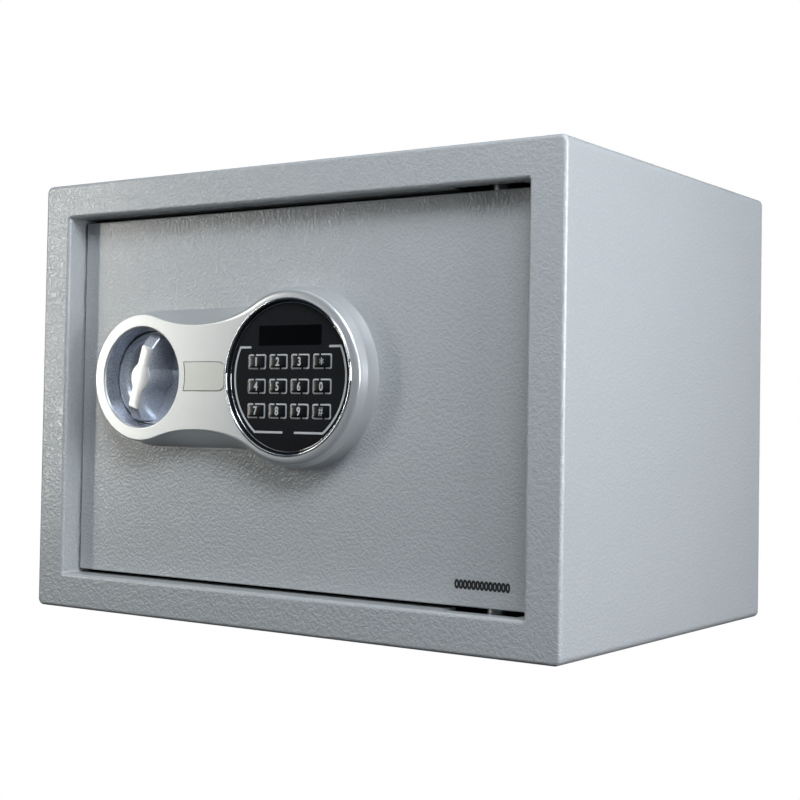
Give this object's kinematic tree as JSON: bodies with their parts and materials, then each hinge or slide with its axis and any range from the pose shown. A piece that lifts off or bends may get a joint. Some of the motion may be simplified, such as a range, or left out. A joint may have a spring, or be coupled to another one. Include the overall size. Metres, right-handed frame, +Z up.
{
  "type": "in room safe",
  "caption": "Small steel room safe with a recessed hinged door, a dumbbell-shaped bezel holding a round keypad and a turn knob, and sliding locking bolts behind the door.",
  "frame": {"origin": "centre of the cabinet's underside, midway between its front and back faces", "axes": "+X to the right seen from the door, +Y from the door to the back, +Z up"},
  "size_m": [0.35, 0.252, 0.25],
  "materials": {
    "powder_coat": "fine hammer-grain powder coat, satin, light warm grey",
    "zinc_steel": "zinc plated sheet and turned steel",
    "bright_steel": "ground and nickel plated steel",
    "felt": "dark needle felt mat",
    "silver_paint": "ABS moulding with satin metallic silver paint",
    "chrome_plate": "mirror chrome on ABS",
    "gloss_black": "polished black ABS with light grey screen print",
    "smoked_lens": "smoked acrylic window",
    "black_plastic": "moulded black ABS, fine spark texture",
    "white_acetal": "natural acetal",
    "circuit_board": "green solder-masked glass epoxy laminate",
    "mat_rubber": "grey silicone rubber",
    "coil_copper": "enamelled copper winding",
    "cell_sleeve": "printed shrink sleeve on steel can",
    "wire_sleeve": "PVC insulation",
    "red_plastic": "moulded red ABS"
  },
  "bodies": {
    "cabinet": {"body_wrap": "powder_coat", "back_panel": "powder_coat", "strike_plate": "zinc_steel", "hinge_bracket_top": "zinc_steel", "hinge_bracket_bottom": "zinc_steel", "floor_mat": "felt"},
    "door": {"door_plate": "powder_coat", "hinge_lugs": "zinc_steel", "hinge_pins": "zinc_steel", "bezel_housing": "silver_paint", "chrome_ring": "chrome_plate", "face_plate": "gloss_black", "display_lens": "smoked_lens", "display_module": "black_plastic", "keypad_board": "circuit_board", "key_mat": "mat_rubber", "ribbon_cable": "wire_sleeve", "bezel_screws": "zinc_steel", "spindle_bush": "white_acetal", "override_case": "zinc_steel", "bolt_guide": "zinc_steel", "solenoid_frame": "zinc_steel", "solenoid_coil": "coil_copper", "plunger_spring": "bright_steel", "inner_cover": "powder_coat", "cover_screws": "zinc_steel", "battery_tray": "black_plastic", "batteries": "cell_sleeve", "battery_contacts": "zinc_steel", "control_board": "circuit_board", "board_posts": "zinc_steel", "reset_switch": "black_plastic", "wiring_loom": "wire_sleeve"},
    "knob_assembly": {"knob": "silver_paint", "knob_spindle": "zinc_steel", "crank_disc": "zinc_steel", "spindle_clip": "zinc_steel"},
    "bolt_set": {"bolt_carrier": "zinc_steel", "locking_bolts": "bright_steel"},
    "plunger": {"solenoid_plunger": "zinc_steel"},
    "override_cap": {"override_cover": "silver_paint"},
    "override_core": {"override_plug": "bright_steel", "override_cam": "zinc_steel"},
    "battery_flap": {"battery_lid": "black_plastic"},
    "reset_stem": {"reset_button": "red_plastic"},
    "push_1": {"key_1": "gloss_black"},
    "push_2": {"key_2": "gloss_black"},
    "push_3": {"key_3": "gloss_black"},
    "push_star": {"key_star": "gloss_black"},
    "push_4": {"key_4": "gloss_black"},
    "push_5": {"key_5": "gloss_black"},
    "push_6": {"key_6": "gloss_black"},
    "push_0": {"key_0": "gloss_black"},
    "push_7": {"key_7": "gloss_black"},
    "push_8": {"key_8": "gloss_black"},
    "push_9": {"key_9": "gloss_black"},
    "push_hash": {"key_hash": "gloss_black"}
  },
  "joints": [
    {"name": "door_hinge", "type": "hinge", "parent": "cabinet", "child": "door", "pos_m": [0.129, -0.105, 0.125], "axis": [0, 0, 1], "range_deg": [0, 105]},
    {"name": "knob_turn", "type": "hinge", "parent": "door", "child": "knob_assembly", "pos_m": [-0.0935, -0.11, 0.1354], "axis": [0, -1, 0], "range_deg": [0, 90]},
    {"name": "bolt_slide", "type": "slide", "parent": "door", "child": "bolt_set", "axis": [-1, 0, 0], "range_m": [0, 0.01697]},
    {"name": "plunger_slide", "type": "slide", "parent": "door", "child": "plunger", "axis": [0, 0, -1], "range_m": [0, 0.005], "stiffness_N_per_m": 300, "deforming": ["plunger_spring"]},
    {"name": "override_cap_pull", "type": "slide", "parent": "door", "child": "override_cap", "axis": [0, -1, 0], "range_m": [0, 0.02]},
    {"name": "override_turn", "type": "hinge", "parent": "door", "child": "override_core", "pos_m": [-0.0465, -0.11, 0.1358], "axis": [0, -1, 0], "range_deg": [0, 90]},
    {"name": "battery_lid_hinge", "type": "hinge", "parent": "door", "child": "battery_flap", "pos_m": [0.034, -0.063, 0.0802], "axis": [-1, 0, 0], "range_deg": [0, 100]},
    {"name": "reset_press", "type": "slide", "parent": "door", "child": "reset_stem", "axis": [0, -1, 0], "range_m": [0, 0.002], "stiffness_N_per_m": 400},
    {"name": "key_press_1", "type": "slide", "parent": "door", "child": "push_1", "axis": [0, 1, 0], "range_m": [0, 0.0006], "stiffness_N_per_m": 800},
    {"name": "key_press_2", "type": "slide", "parent": "door", "child": "push_2", "axis": [0, 1, 0], "range_m": [0, 0.0006], "stiffness_N_per_m": 800},
    {"name": "key_press_3", "type": "slide", "parent": "door", "child": "push_3", "axis": [0, 1, 0], "range_m": [0, 0.0006], "stiffness_N_per_m": 800},
    {"name": "key_press_star", "type": "slide", "parent": "door", "child": "push_star", "axis": [0, 1, 0], "range_m": [0, 0.0006], "stiffness_N_per_m": 800},
    {"name": "key_press_4", "type": "slide", "parent": "door", "child": "push_4", "axis": [0, 1, 0], "range_m": [0, 0.0006], "stiffness_N_per_m": 800},
    {"name": "key_press_5", "type": "slide", "parent": "door", "child": "push_5", "axis": [0, 1, 0], "range_m": [0, 0.0006], "stiffness_N_per_m": 800},
    {"name": "key_press_6", "type": "slide", "parent": "door", "child": "push_6", "axis": [0, 1, 0], "range_m": [0, 0.0006], "stiffness_N_per_m": 800},
    {"name": "key_press_0", "type": "slide", "parent": "door", "child": "push_0", "axis": [0, 1, 0], "range_m": [0, 0.0006], "stiffness_N_per_m": 800},
    {"name": "key_press_7", "type": "slide", "parent": "door", "child": "push_7", "axis": [0, 1, 0], "range_m": [0, 0.0006], "stiffness_N_per_m": 800},
    {"name": "key_press_8", "type": "slide", "parent": "door", "child": "push_8", "axis": [0, 1, 0], "range_m": [0, 0.0006], "stiffness_N_per_m": 800},
    {"name": "key_press_9", "type": "slide", "parent": "door", "child": "push_9", "axis": [0, 1, 0], "range_m": [0, 0.0006], "stiffness_N_per_m": 800},
    {"name": "key_press_hash", "type": "slide", "parent": "door", "child": "push_hash", "axis": [0, 1, 0], "range_m": [0, 0.0006], "stiffness_N_per_m": 800}
  ],
  "couplings": [
    {"joint": "knob_turn", "follows": "bolt_slide", "rad_per_m": 92.56}
  ]
}
